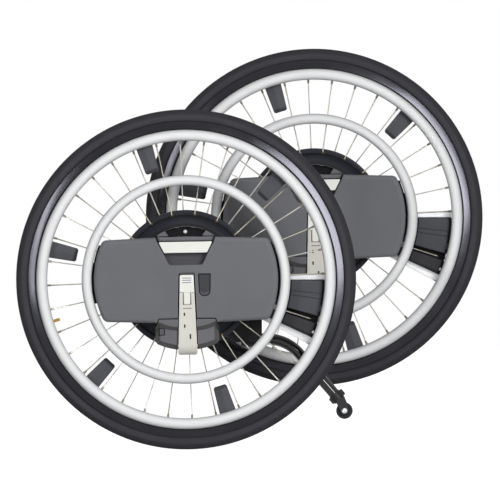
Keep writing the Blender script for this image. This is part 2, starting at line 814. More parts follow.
@dataclass
class SpokedWheel(WheelGroup):
    """Tyre, tube and valve, rim, spokes and nipples of one wheel."""

    mid_r: float = 283.0
    section_r: float = 13.0
    flange_r: float = 275.0
    rim_r: float = 249.0
    rim_half: float = 10.5
    front_w: float = 15.2
    rear_w: float = -33.2
    front_face: float = 12.0
    rear_face: float = -30.0
    foot_w: float = 3.0
    nipple_len: float = 13.0
    valve_turn: float = 197.5

    def tyre(self) -> Skin:
        """A round section turned about the axle, less grooves round the tread and nicks at its shoulders.

        Returns:
            The closed carcass with its beads.
        """
        count = 721
        a = np.radians(np.concatenate([np.linspace(-116, -64, 13), np.linspace(-62, 62, 51),
                                       np.linspace(64, 116, 13)]))
        t = np.linspace(0, ROUND, count)[:, None]
        grooves = sum(np.exp(-(((a - g) / 0.055) ** 2)) for g in (-0.45, 0.0, 0.45))
        shoulder = ease(np.abs(a), 0.6, 0.66) * (1 - ease(np.abs(a), 1.0, 1.06))
        nicks = np.clip(3 * np.cos(120 * t + 2.2 * a) - 1.8, 0, 1)
        ridge = np.exp(-(((np.abs(a) - 1.32) / 0.045) ** 2))
        groove_depth, nick_depth, ridge_height, lining_r = 0.8, 0.7, 0.3, 10
        radius = self.section_r - groove_depth * grooves - nick_depth * shoulder * nicks
        radius = radius + ridge_height * ridge
        inside = np.radians(np.linspace(126, -126, 15))
        bead = np.array([[275.9, 10.3], [275.2, 8.6], [271.2, 8.4], [271.2, 5.8]])
        lining = np.c_[self.mid_r + lining_r * np.cos(inside), lining_r * np.sin(inside)]
        fixed = np.concatenate([bead, lining, bead[::-1] * (1, -1)])
        r = np.concatenate([self.mid_r + radius * np.cos(a), np.tile(fixed[:, 0], (count, 1))], 1)
        w = np.concatenate([radius * np.sin(a), np.tile(fixed[:, 1], (count, 1))], 1)
        r, w = (np.concatenate([part, part[:, :1]], 1) for part in (r, w))
        tread = np.concatenate([1 - ease(np.abs(a), 1.1, 1.5), np.ones(len(fixed)), [0.0]])
        return grid(np.stack([r * np.cos(t), r * np.sin(t), w], -1), tread)

    def rim(self) -> Skin:
        """A deep box section with hooked flanges, turned about the axle; its sides lean in and barely crown.

        Returns:
            The closed rim.
        """
        f, h, i = self.flange_r, self.rim_half, self.rim_r
        d = np.array([0, 1, 2, 3.5, 5, 6.5, 8, 9.5, 11, 12, 13, 14.2, 16, 19, 22])
        wall_w = h - 1.6 + 0.2 * d + 0.1 * (1 - (d / 6.5 - 1) ** 2) - 0.13 * np.clip(d - 12, 0, None) ** 1.6
        half = [*zip((f - d).tolist(), wall_w.tolist()), (i, h - 3.5)]
        inner = [(f - 8, 4), (f - 4.2, 4.6), (f - 4.2, h - 3), (f, h - 3)]
        rear, rear_inner = ([(r, -w) for r, w in part[::-1]] for part in (half, inner))
        corners = np.array(half + rear + rear_inner + inner)
        radii = [0.4] + [0.0] * 14 + [1.5]
        edge = rounded(corners, radii + radii[::-1] + [0.6, 0, 0.5, 0] + [0, 0.5, 0, 0.6], 5).points
        return revolve(closed(edge), 240)

    @property
    def span(self) -> float:
        """Distance across the wheel's face from a spoke's hole to its end in the rim."""
        return self.rim_r - 0.6 - HOLE_R

    def spokes(self, level: float, face: float, foot: float) -> Skin:
        """A butted wire carried along a path: up through the flange, round an elbow and out to the rim.

        Args:
            level: Level of the wire where it leaves its elbow.
            face: Level of the flange's face.
            foot: Level of the wire at the rim.

        Returns:
            One flange's spokes before they are turned to their places.
        """
        reach = np.array([self.span, 0.0, foot - level])
        length = np.linalg.norm(reach)
        reach /= length
        corner = np.array([HOLE_R, 0.0, level])
        rise = np.array([0.0, 0.0, np.sign(level - face)])
        f = np.linspace(0, 1, 7)[:, None]
        bend, butt, shaft, thread = 2.4, 1.2, 1.0, 1.15
        elbow = ((1 - f) ** 2 * (corner - bend * rise) + 2 * f * (1 - f) * corner
                 + f**2 * (corner + bend * reach))
        stations = np.array([9, 14, 20, length / 2, length - 32, length - 25, length - self.nipple_len + 1])
        head = corner - (abs(level - face) + butt) * rise
        path = np.concatenate([[head], elbow, corner + stations[:, None] * reach])
        radii = np.array([butt] * 10 + [shaft] * 3 + [thread] * 2)
        return sweep(path, radii, (0, 1, 0), 8)

    def nipples(self, level: float, foot: float) -> Skin:
        """A waisted sleeve and its eyelet turned about each spoke's own line.

        Args:
            level: Level of the spoke where it leaves its elbow.
            foot: Level of the spoke at the rim.

        Returns:
            One nipple before it is turned to its places.
        """
        run, drop = self.span, foot - level
        start = math.hypot(run, drop) - self.nipple_len
        profile = [(0, 0), (0, 1.5), (0.5, 1.9), (7, 2.0), (7.6, 2.2), (12, 2.25), (12.1, 3.1),
                   (12.7, 3.2), (13.2, 3.0), (13.2, 0)]
        sleeve = spindle([(start + s, r) for s, r in profile], 10)
        return sleeve.tilted(HOLE_R, level, math.degrees(math.atan2(drop, run)))

    def valve(self) -> Skin:
        """A threaded stem with a lock nut turned about a line out from the axle.

        Returns:
            The valve in its place.
        """
        pitch = 0.9
        s = np.linspace(231.5, 246, 60)
        thread = np.c_[s, 2.7 + 0.22 * np.sin(s * ROUND / pitch)]
        profile = np.concatenate([[(230, 0), (230, 1.7), (230.4, 2.2), (231.4, 2.3)], thread,
                                  [(246.1, 4.6), (246.5, 5), (248.4, 5), (248.8, 4.6), (248.9, 3),
                                   (275, 3), (275, 0)]])
        return spindle(profile, 18).around(self.valve_turn)

    def build(self) -> None:
        """Makes the wheel's pieces and dresses them."""
        self.fit("road_tyre", self.tyre(), "wheel", [TYRE], "tyre_rubber", "tyre", 50)
        a = np.linspace(0, ROUND, 19)
        air_r = 9.6
        tube = revolve(np.c_[self.mid_r + air_r * np.cos(a), air_r * np.sin(a)], 96)
        self.fit("tube_and_valve", join(tube, self.valve().dressed(1)), "wheel", [BUTYL, BRASS],
                 "tube_rubber", "inner_tube")
        self.fit("deep_rim", self.rim(), "wheel", [RIM], "rim_dark", "rim", 28)
        wires = join(self.spokes(self.front_w, self.front_face, self.foot_w).around(FRONT_TURNS),
                     self.spokes(self.rear_w, self.rear_face, -self.foot_w).around(REAR_TURNS).dressed(1))
        self.fit("butted_spokes", wires, "wheel", [SPOKE, SPOKE_LIT], "spoke_steel", "spokes", 60)
        sleeves = join(self.nipples(self.front_w, self.foot_w).around(FRONT_TURNS),
                       self.nipples(self.rear_w, -self.foot_w).around(REAR_TURNS))
        self.fit("nipples", sleeves, "wheel", [NIPPLE], "nipple_brass", "spoke_nipples")


@dataclass
class HubMotor(WheelGroup):
    """The motor's drum with its spoke flanges, its back cover, and the solids inside."""

    flange_r: float = 121.0
    drum_r: float = 110.0
    inside_r: float = 104.0
    seat_r: float = 26.02
    neck_r: float = 20.0
    back_w: float = -36.0
    end_w: float = -40.0

    def shell(self) -> Skin:
        """The drum's section turned about the axle, its face a shallow dome, with its seal and eyelets.

        Returns:
            The drum with its flanges.
        """
        dome = np.linspace(109.4, 84, 13)
        crown = zip(dome.tolist(), (22 - 7.6 * ((dome - 84) / 25.4) ** 2).tolist())
        flange, drum, inside = self.flange_r, self.drum_r, self.inside_r
        corners = [(self.seat_r, 11), (40, 11), (40, 15), (inside, 15), (inside, self.back_w),
                   (drum, self.back_w), (drum, -30), (flange, -30), (flange, -26), (drum, -26), (drum, 8),
                   (flange, 8), (flange, 12), (112.8, 12), (112.2, 10.8), (109.4, 10.8), *crown,
                   (self.neck_r, 22), (self.neck_r, 20), (self.seat_r, 20)]
        radii = [0, 0, 1, 1, 0, 0.8, 1, 1.7, 1.7, 1, 1, 1.7, 1.7, 0.4, 0.3, 0, 0.8, *([0] * 12), 0.4, 0, 0]
        edge = rounded(corners, radii, 5).points
        ring = np.array([(1.4, 11.6), (1.4, 12.5), (2.1, 12.9), (2.9, 12.7), (3.3, 12.1), (3.3, 11.6),
                         (1.4, 11.6)])
        eyelet = revolve(ring, 14).at(HOLE_R, 0)
        back = revolve(ring * (1, -1) + (0, -18), 14).at(HOLE_R, 0)
        rings = join(eyelet.around(FRONT_TURNS), back.around(REAR_TURNS))
        seal = revolve([(109.4, 10.85), (112.7, 10.85), (112.7, 11.3), (109.4, 11.3), (109.4, 10.85)], 240)
        return join(revolve(closed(edge), 240), rings.dressed(1), seal.dressed(2))

    def cover(self) -> Skin:
        """A stepped disc turned about the axle, with a ring of domed screws.

        Returns:
            The cover and its screws.
        """
        end, back = self.end_w, self.back_w
        corners = [(self.seat_r, -28), (self.seat_r, -37), (self.neck_r, -37), (self.neck_r, end), (56, end),
                   (58, -39), (92, -39), (94, end), (self.drum_r, end), (self.drum_r, back), (40, back),
                   (40, -28)]
        edge = rounded(corners, [0, 0, 0.3, 0.5, 0.6, 0.6, 0.6, 0.6, 1.8, 0, 0.5, 0.5], 4).points
        dome = revolve([(0, -41.7), (1.4, -41.7), (1.4, -40.9), (1.8, -41.6), (2.9, -41.2), (3.5, -40.3),
                        (3.5, -39.5), (0, -39.5)], 18)
        screws = dome.at(102, 0).around(np.arange(8) * 45.0 + 20)
        return join(revolve(closed(edge), 192), screws.dressed(1))

    def build(self) -> None:
        """Makes the drum and cover and dresses what stays as a solid."""
        self.fit("motor_drum", self.shell(), "wheel", [HUB, EYELET, GAP], "hub_black", "hub_shell", 26)
        self.fit("motor_cover", self.cover(), "wheel", [HUB, ZINC], "hub_black", "hub_back_cover", 26)
        for node, finish in {"rotor_magnets": MOTOR, "hub_bearings": STEEL,
                             "inner_rim_carrier": COATED}.items():
            dress(self.side.of(node), finish)


@dataclass
class PushRims(WheelGroup):
    """The two push rims, the brackets that carry the outer one, and the sensor boxes."""

    outer_r: float = 250.8
    outer_tube: float = 9.6
    outer_w: float = 42.0
    inner_r: float = 172.6
    inner_tube: float = 8.8
    inner_w: float = 60.0
    bracket_turn: float = 47.5
    datum_r: float = 226.0
    end_r: float = 257.3
    slot_r: float = 248.9
    slot_w: float = 11.6
    slot_lines: tuple[float, float] = (248.85, 248.95)
    plate_w: float = 1.05
    channel_r: float = 182.0
    bracket_r: float = 194.0

    @staticmethod
    def ring(r: float, tube: float, w: float) -> Skin:
        """A round tube turned about the axle, duller on its flanks than along the front where hands run.

        Args:
            r: Radius of the ring's middle line.
            tube: Radius of the tube.
            w: Level of the middle line.

        Returns:
            The ring, its rubbed value rising from 0 at the front to 1 at the flanks and the back.
        """
        steps = 240
        a = np.linspace(0, ROUND, 37)
        skin = revolve(np.c_[r + tube * np.cos(a), w + tube * np.sin(a)], steps)
        skin.edge = np.tile(1 - np.clip(np.sin(a), 0, 1) ** 1.5, steps + 1)
        return skin

    def outer(self) -> Skin:
        """The outer ring with its six tabs, each a rounded block down to its slot.

        Returns:
            The ring and its tabs.
        """
        half, thick, bend = 5, 4, 1.2

        def tab(u: Floats, v: Floats) -> Plan:
            """Gives a tab's plan and its two levels, the lower one rounded off at both sides."""
            return v, u, np.full_like(u, 37.0), 18 + soft(half - np.abs(u), bend)
        radial = lines(self.outer_r - thick, self.outer_r + thick, 0.5, 2)
        pad = block(lines(-half, half, bend, 3), radial, tab)
        profile = [(0, 33.2), (6.4, 33.2), (6.9, 34.2), (5.5, 36.5), (0, 36.5)]
        bead = revolve(profile, 18).at(self.outer_r, 0)
        turns = self.bracket_turn + 60.0 * np.arange(-1, 5)
        return join(self.ring(self.outer_r, self.outer_tube, self.outer_w), join(pad, bead).around(turns))

    def inner(self) -> Skin:
        """The inner ring with its two studs, each a stepped pin turned about its own line.

        Returns:
            The ring and its studs.
        """
        stud = revolve([(0, 18), (6.2, 18), (7, 18.8), (7, 21.6), (4, 21.6), (4, 26.4), (6.4, 26.4),
                        (7, 27), (7, 42), (5.6, 46), (5.6, 56), (0, 56)], 24).at(self.inner_r, 0)
        return join(self.ring(self.inner_r, self.inner_tube, self.inner_w), stud.around([2.5, 182.5]))

    def sector(self, u: Floats, r: Floats) -> tuple[Floats, Floats]:
        """Gives x and y at radius r, u being the length run along the datum circle."""
        return r * np.cos(u / self.datum_r), r * np.sin(u / self.datum_r)

    def bracket(self) -> Skin:
        """A ridged wedge over a sector: the top falls both ways from a line out from the axle.

        Returns:
            One bracket about the x axis.
        """
        half = math.radians(3.45) * self.datum_r
        start = self.bracket_r

        def shape(u: Floats, v: Floats) -> Plan:
            """Gives the sector's plan by angle and radius, its ridge, slot and foot."""
            top = 26 - 7 * (1 - ease(v, 193, 200.5))
            top = top - 9.2 * ease(v, 245.7, 246) * (1 - ease(v, 255.5, 255.8))
            top = top - 2.6 * np.abs(u) / half - soft(half - np.abs(u), 1.8) - soft(v - start, 1.5)
            low = np.where(v > self.slot_r, self.slot_w, 2 + 2 * (1 - ease(v, start, 206)))
            r = v + soft(half - np.abs(u), 4.5) * (1 - ease(v, start, 204))
            return *self.sector(u, r), np.maximum(top, low + 1), low
        u = lines(-half, half, 4.5, 9, (-0.3, 0.3, 0.5 - half, half - 0.5))
        v = merged(lines(start, self.end_r, 1.5, 8), [197, 198.5, 200.5, 245.7, 246, 255.5, 255.8],
                   self.slot_lines)
        return block(u, v, shape)

    def box(self, middle: float, half_turn: float, upper: bool) -> Skin:
        """A stepped housing over a sector, with its grooves, dark step and tab slot.

        Args:
            middle: Angle of its middle line, in degrees.
            half_turn: Half its width, in degrees.
            upper: Whether it is the wide upper box or the narrow lower one.

        Returns:
            The housing in its place.
        """
        half = math.radians(half_turn) * self.datum_r
        grooves = (-1.38, 7.69)

        def shape(u: Floats, v: Floats) -> Plan:
            """Gives the sector's plan by angle and radius, and the housing's levels."""
            level = 22.0 if upper else 20.5
            top = 14 + (level - 14) * ease(v, 180.8, 183.8)
            top = top - 2.5 * ease(v, 237.2, 237.9) - (level - 19.3) * ease(v, 245.6, 246)
            top = top + 1.5 * ease(v, 255.5, 256)
            inside = ease(v, 185, 186) * (1 - ease(v, 236.2, 236.8))
            if upper:
                cut = sum(np.clip(1.6 - np.abs(u - g) / 0.45, 0, 1) for g in grooves)
                rib = ease(u, -1.4, -1.3) * (1 - ease(u, 7.6, 7.7))
                top = top - inside * (0.9 * cut - 0.35 * rib)
            else:
                panel = ease(u, -3.6, -3.4) * (1 - ease(u, 3.4, 3.6))
                panel = panel * ease(v, 193.4, 193.6) * (1 - ease(v, 206.4, 206.6))
                top = top + 0.45 * panel - 0.85 * np.clip(-7 - u, 0, 9)
            top = top - soft(half - np.abs(u), 1.5)
            low = np.where(v > self.slot_r, self.slot_w, self.plate_w)
            return *self.sector(u, v), np.maximum(top, low + 1), low

        def step(x: Floats, y: Floats) -> Ints:
            """Picks the dark step past the housing's face, and the lower box's own finish before it."""
            return np.where(np.hypot(x, y) > 237.5, 1, 0 if upper else 3)
        marks = [-7, -3.6, -3.4, 3.4, 3.6]
        if upper:
            marks = [groove + d for groove in grooves for d in (-0.75, -0.3, 0, 0.3, 0.75)]
        u = lines(-half, half, 1.5, 14, marks)
        v = merged(lines(150, self.end_r, 1.0, 10), [180.8, 181.8, 182.8, 183.8, 185, 186],
                   [193.4, 193.6, 206.4, 206.6, 236.2, 236.8, 237.2, 237.9, 245.6, 246, 255.5, 256],
                   self.slot_lines)
        solid = block(u, v, shape, step)
        if upper:
            cap = revolve([(0, 22.2), (6.3, 22.2), (7, 21.7), (7, 18), (0, 18)], 36).at(243, 0).around(-4.4)
            return join(solid, cap).around(middle)
        screw = revolve([(0, 21.6), (0.8, 21.6), (0.9, 21.2), (1.3, 22.2), (2.2, 21.8), (2.7, 20.9),
                         (2.7, 18), (0, 18)], 20)
        return join(solid, screw.at(239.5, 0).around(-0.75).dressed(2)).around(middle)

    def channel(self, middle: float, half_turn: float, top: float) -> Skin:
        """A dark strip over a narrow sector, level across, beside or between the boxes.

        Args:
            middle: Angle of its middle line, in degrees.
            half_turn: Half its width, in degrees.
            top: Level of its face.

        Returns:
            The strip in its place.
        """
        half, bend = math.radians(half_turn) * self.datum_r, 2.0

        def shape(u: Floats, v: Floats) -> Plan:
            """Gives the strip's plan by angle and radius, and its two levels."""
            return *self.sector(u, v), top - soft(v - self.channel_r, bend), np.full_like(u, self.plate_w)
        strip = block(np.linspace(-half, half, 4), lines(self.channel_r, 240, bend, 4), shape)
        return strip.dressed(1).around(middle)

    def build(self) -> None:
        """Makes the rims, brackets and boxes and dresses the sensor's plate."""
        for which, ring in {"outer": self.outer(), "inner": self.inner()}.items():
            node = f"{which}_pushrim"
            self.fit(f"{which}_ring", ring, f"{which}_rim", [PUSHRIM], "pushrim_aluminium", node, 40)
        brackets = self.bracket().around(self.bracket_turn + 60.0 * np.arange(5))
        self.fit("ring_brackets", brackets, "wheel", [BRACKET], "bracket_grey", "pushrim_brackets", 24)
        boxes = join(self.box(-7.95, 7.55, True), self.box(-21.75, 3.05, False),
                     self.channel(-17.1, 1.75, 6.0), self.channel(-0.5, 0.45, 16.0))
        shades = [BOX, GAP, ZINC, LID]
        self.fit("sensor_housings", boxes, "wheel", shades, "bracket_grey", "sensor_boxes", 24)
        dress(self.side.of("sensor_plate"), PLATE)


@dataclass
class BatteryPack(WheelGroup):
    """The battery's two case halves, its carrying handle and badge, and the flap of its socket."""

    end_r: float = 160.2
    top_y: float = 75.35
    foot_y: float = -76.65
    slope: float = 6.0 / 170.0
    notch_y: float = -67.5
    split_w: float = 55.5
    back_w: float = 34.3
    face_w: float = 80.0
    edge_r: float = 8.0

    def top(self, x: float) -> float:
        """Height of the battery's top edge, which falls evenly to both ends."""
        return self.top_y - self.slope * abs(x)

    def foot(self, x: float) -> float:
        """Height of the battery's lower edge, which rises evenly to both ends."""
        return self.foot_y + self.slope * abs(x)

    def meets(self, level: float, slope: float) -> float:
        """Finds where the straight edge level + slope x meets the round end.

        Args:
            level: Height of the edge at the middle.
            slope: Its rise to the right.

        Returns:
            The angle about the axle.
        """
        k = 1 + slope**2
        x = (-slope * level + math.sqrt((slope * level) ** 2 - k * (level**2 - self.end_r**2))) / k
        return math.atan2(level + slope * x, x)

    def ends(self) -> tuple[Floats, list[float]]:
        """Samples the round right end from its lower to its upper corner.

        Returns:
            The points from corner to corner, and how round each point's corner is.
        """
        foot, top = self.meets(self.foot_y, self.slope), self.meets(self.top_y, -self.slope)
        a = np.concatenate([[foot], np.linspace(foot + 0.1, top - 0.09, 9), [top]])
        return self.end_r * np.c_[np.cos(a), np.sin(a)], [12.0] + [0.0] * 9 + [11.0]

    def front(self) -> Skin:
        """The face's outline, notched for handle, lever and cradle, raised with a wide rounded edge.

        Returns:
            The closed front half with the floors of its recesses.
        """
        right, round_right = self.ends()
        notch = np.array([(57.5, self.top(57.5)), (52.4, self.top(52.4)), (48.6, 64.1), (38.9, 45.6),
                          (28.9, 25.1)])
        upper = np.concatenate([notch, notch[::-1] * (-1, 1)])
        lower = [(-57.5, self.foot(57.5)), (-52.1, self.foot(52.1)), (-48.8, self.notch_y),
                 (-15.4, self.notch_y), (-12.6, 11.8), (15.0, 11.8), (17.8, self.notch_y),
                 (50.4, self.notch_y), (53.7, self.foot(53.7)), (59.0, self.foot(59.0))]
        corners = np.concatenate([right, upper, right[::-1] * (-1, 1), lower])
        radii = [*round_right, 0, 1.2, 2, 2, 7, 7, 2, 2, 1.2, 0,
                 *round_right[::-1], 0, 1, 1, 0.8, 2.5, 2.5, 0.8, 1, 1, 0]
        big, small, lip = self.edge_r, 0.9, 0.9
        floor_w = 77.5
        edge = [*([big] * 12), *([small] * 8), *([big] * 13), *([small] * 8), big]
        outline = rounded(corners, radii, 8)
        e = outline.spread(edge)
        a = np.linspace(0, np.pi / 2, 9)
        insets = [0.8, 0.0] + [e * (1 - np.cos(k)) for k in a] + [e + 0.4]
        bulge = [self.face_w - e * (1 - np.sin(k)) for k in a]
        levels = [self.split_w + 0.1, self.split_w + 0.9] + bulge + [self.face_w]
        rub = [0.6, 0.4, 0.2, 0.3, 0.5, 0.7, 0.8, 0.8, 0.6, 0.4, 0.2, 0.0]
        socket = rounded([(20.9, 9.9), (22.2, -29.6), (41.8, -29.6), (43.1, 9.9)], [1.5, 9.4, 9.4, 1.5], 8)
        rim = wall(socket, [-lip, -0.5, -0.2, 0, 0], [self.face_w, self.face_w, 79.9, 79.6, floor_w],
                   [0, 0.5, 0.6, 0.3, 0])
        shell = join(wall(outline, insets, levels, rub), lid(levels[0], outline.inset(insets[0])), rim,
                     lid(self.face_w, outline.inset(insets[-1]), socket.inset(-lip)),
                     lid(floor_w, socket.inset(0)).dressed(2))
        pocket = slab(oblong(-52, 24, 52, 73.4, 1), self.split_w + 0.2, 58, 0.3)
        groove = slab(rounded([(-13.4, 12.5), (-16.2, -67), (18.6, -67), (15.8, 12.5)], 0.5),
                      self.split_w + 0.2, 74.4, 0.2)
        ledge = slab(rounded([(-11.6, 12.2), (-11.7, 8.9), (14.1, 8.9), (14.0, 12.2)], 0.4), 74, 78.6, 0.4)
        return join(shell, pocket.dressed(1), groove.dressed(2), ledge.dressed(1))

    def back(self) -> Skin:
        """The back half: the outline with its cradle notch, raised with a narrow groove along the join.

        Returns:
            The closed back half.
        """
        right, round_right = self.ends()
        lower = [(-52.1, self.foot(52.1)), (-48.8, self.notch_y), (50.4, self.notch_y),
                 (53.7, self.foot(53.7))]
        corners = np.concatenate([right, [(0, self.top_y)], right[::-1] * (-1, 1), lower])
        outline = rounded(corners, [*round_right, 0, *round_right[::-1], 1, 1, 1, 1], 8)
        return slab(outline, self.back_w, self.split_w, 0.7, 3.0)

    def handle(self) -> Skin:
        """The grip: a tapered block under the badge and a raised bar along its top.

        Returns:
            The block and the bar.
        """
        body = slab(rounded([(-51, 74.4), (-46.8, 66), (-38, 46.2), (38, 46.2), (46.8, 66), (51, 74.4)],
                            [1, 2, 2, 2, 2, 1]), 69.1, 76.0, 1.0, 1.0)
        bar = slab(rounded([(-49.6, 74.4), (-46.4, 67.0), (46.4, 67.0), (49.6, 74.4)], [1.6, 1, 1, 1.6]),
                   70, 80.2, 3.4)
        return join(body.dressed(1), bar)

    def badge(self) -> Skin:
        """The cream plate: a tapered outline raised with a soft edge."""
        corners = [(-47.0, 65.6), (-37.3, 46.3), (37.3, 46.3), (47.0, 65.6)]
        return slab(rounded(corners, [1.6, 2.4, 2.4, 1.6]), 75, 80.5, 1.1)

    def flap(self) -> Skin:
        """The socket's flap: a tapered plate whose lower edge bows over a lower finger lip.

        Returns:
            The plate, its lip and its ridge.
        """
        tab = [(22.6, 8.2), (23.8, -28.0), (40.2, -28.0), (41.4, 8.2)]
        bowed = [(22.6, 8.2), (23.5, -18.4), (26.6, -21.2), (32, -22.3), (37.4, -21.2), (40.5, -18.4),
                 (41.4, 8.2)]
        strip = [(27, -17.2), (32, -18.2), (37, -17.2), (37, -16.4), (32, -17.3), (27, -16.4)]
        lip = slab(rounded(tab, [1.2, 8.0, 8.0, 1.2], 8), 77.9, 78.7, 0.4)
        plate = slab(rounded(bowed, [1.4, 1.8, 5, 8, 5, 1.8, 1.4], 6), 78.2, 79.9, 0.6)
        ridge = slab(rounded(strip, 0.3, 3), 79.5, 80.2, 0.2)
        return join(lip.dressed(1), plate, ridge)

    def build(self) -> None:
        """Makes the battery's pieces and dresses its cells."""
        front, back, handle, badge, flap = (
            skin.around(FACE_TURN)
            for skin in (self.front(), self.back(), self.handle(), self.badge(), self.flap()))
        self.fit("case_front", front, "battery", [CASE, RECESS, GAP], "case_grey", "battery_front_case")
        self.fit("case_back", back, "battery", [CASE], "case_grey", "battery_back_case")
        self.fit("grip", handle, "battery", [DOCK, GAP], "case_grey", "carry_handle")
        self.fit("badge", badge, "battery", [BADGE], "plate_cream")
        self.fit("socket_flap", flap, "port_flap", [FLAP, RECESS], "button_grey", "charge_cover")
        dress(self.side.of("battery_cells"), CELL)


@dataclass
class Dock(WheelGroup):
    """The arch and cradle that hold the battery, the power button and the dock's light."""

    low_w: float = 31.5
    disc_r: float = 91.0
    arch_r: float = 84.5
    arch_mid: float = 8.3
    arch_y: float = 75.75
    arch_w: float = 70.0
    cradle_x: float = 0.8
    cradle_r: float = 123.0
    cradle_y: float = -68.9
    front_w: float = 80.0
    bevel: float = 0.8

    def arch(self) -> Skin:
        """A segment whose y runs from a chord to an arc, with a dark scalloped pocket.

        Returns:
            The closed arch.
        """
        reach = math.sqrt(self.arch_r**2 - (self.arch_y - self.arch_mid) ** 2) - 0.05

        def plan(u: Floats, v: Floats) -> tuple[Floats, Floats]:
            """Gives x and y: the pocket's sides lie at u of half either way."""
            side = 29.5 + 6.5 * v
            a = np.abs(u)
            x = np.sign(u) * np.where(a < 0.5, a * 2 * side, side + (a - 0.5) * 2 * (reach - side))
            crown = self.arch_mid + np.sqrt(self.arch_r**2 - x**2)
            return x, self.arch_y + v * (crown - self.arch_y)

        def shape(u: Floats, v: Floats) -> Plan:
            """Gives the segment's plan and its levels, the pocket 12 mm down."""
            x, y = plan(u, v)
            a = np.abs(u)
            bump = 1.4 * np.exp(-(((np.abs(x) - 14) / 3.2) ** 2)) * np.exp(-(((v - 0.94) / 0.06) ** 2))
            pit = 12 * (1 - ease(a, 0.487, 0.5)) * (1 - ease(v, 0.94, 0.96))
            rim = soft((1 - v) * 17, 1.2) + soft((1 - a) * 30, 2)
            return x, y - bump, self.arch_w - pit - rim, np.full_like(u, self.low_w)
        u = merged(lines(-1, 1, 0.06, 33), [-0.5, -0.487, 0.487, 0.5], np.linspace(-0.35, 0.35, 41))
        v = merged(np.linspace(0, 0.94, 10), [0.947, 0.953, 0.96], lines(0.965, 1, 0.035, 2))
        solid = block(u, v, shape)
        mid_u, mid_v = (u[1:] + u[:-1]) / 2, (v[1:] + v[:-1]) / 2
        dark = (np.abs(mid_u)[:, None] < 0.495) & (mid_v[None] < 0.955)
        solid.slots[:dark.size] = dark.ravel()
        return solid

    def cradle(self, way: int) -> Skin:
        """One cheek of the cradle: rows from its straight top to its round foot, stepped along a bowed line.

        Args:
            way: 1 for the right cheek, -1 for the left one.

        Returns:
            The closed cheek.
        """
        outer = 55.4 + way * self.cradle_x
        edge = 8.4

        def foot(x: Floats) -> Floats:
            """Gives the height of the cheek's round foot."""
            return -np.sqrt(self.cradle_r**2 - x**2) + soft(outer - x, 5)

        def rows(x: Floats) -> list[Floats]:
            """Gives the heights of the top, the step's two edges, the bevel's edge and the foot."""
            out = np.clip((x - 17) / 36, 0, 1)
            top = self.cradle_y - np.clip(x - outer + 6.9, 0, 9) * (13.1 / 6.2)
            bow = np.minimum(-82.0 + 10.7 * out**1.7, top - 0.05)
            low = np.minimum(bow - 6.4 - 2.4 * out, top - 0.1)
            return [top, bow, low, np.minimum(foot(x) + edge, low - 0.05), foot(x)]

        def band(x: Floats, y: Floats) -> Ints:
            """Picks the finish of the step and the bevel."""
            _, bow, low, rise, _ = rows(np.abs(x))
            beside = (np.abs(x) > outer - edge) & (y < bow)
            return np.where(((y < bow) & (y > low)) | (y < rise) | beside, 2, 0)

        def shape(u: Floats, v: Floats) -> Plan:
            """Gives the cheek's plan between its top and foot curves, and its stepped, chamfered face."""
            inner = (17.0 if way > 0 else 14.6) + 1.8 * v
            x = np.where(u < 0.8, inner + u / 0.8 * (outer - edge - inner),
                         outer - edge + (u - 0.8) / 0.2 * edge)
            level = rows(x)
            stops = (0, 0.3, 0.5, 0.8, 1)
            y = level[0] + sum((b - a) * np.clip((v - p) / (q - p), 0, 1)
                               for a, b, p, q in zip(level, level[1:], stops, stops[1:]))
            step = np.clip((v - 0.3) / 0.2, 0, 1)
            bevel = self.bevel * np.clip(edge - np.minimum(outer - x, y - level[4]), 0, edge) * step
            rim = soft(x - inner, 0.8) + soft(level[0] - y, 0.8)
            return way * x, y, self.front_w - 6.5 * step - bevel - rim, np.full_like(u, self.low_w)
        return block(lines(0, 1, 0.03, 44, [0.8]), lines(0, 1, 0.03, 50, [0.3, 0.5, 0.8]), shape, band)

    def build(self) -> None:
        """Makes the dock, its button and light and dresses its plate."""
        bore, disc_top = 15.05, 34
        disc = revolve([(bore, self.low_w), (self.disc_r, self.low_w), (self.disc_r, 33.4),
                        (self.disc_r - 0.6, disc_top), (bore, disc_top), (bore, self.low_w)], 96)
        bridge = slab(rounded([(-14.8, -68.2), (-15.8, -99), (18.2, -99), (17.2, -68.2)], 0.3, 2),
                      self.low_w, 74.4, 0.2)
        floor = slab(rounded([(-17, -98), (-17.6, -120.5), (20, -120.5), (19.4, -98)], 0.3, 2),
                     self.low_w, 44, 0.3)
        bezel = slab(oblong(-48.9, -96.9, -38.3, -83.6, 1.2), 66, 74.1, 0.3)
        skin = join(self.arch(), disc.dressed(1), self.cradle(1), self.cradle(-1), bridge.dressed(1),
                    floor.dressed(1), bezel.dressed(1))
        self.fit("dock", skin.around(FACE_TURN), STATIC, [DOCK, GAP, BAND], "case_grey", "battery_dock", 30)
        key = join(slab(oblong(-47.2, -95.6, -40.0, -85.0, 1), 73.0, 75.8, 0.7),
                   slab(oblong(-45.0, -91.9, -42.2, -88.9, 1.3), 75.4, 76, 0.2))
        self.fit("power_key", key.around(FACE_TURN), "button", [BUTTON], "button_grey", "power_button")
        dome = [(0, 57.5), (3.4, 57.5), (3.4, 63), (3.1, 64.2), (2.2, 65.2), (1.1, 65.8), (0, 66)]
        lamp = revolve(dome, 28).at(0, 83.2)
        self.fit("dock_light", lamp.around(FACE_TURN), STATIC, [LIGHT], "plate_cream")
        dress(self.side.of("dock_plate"), BLACK)


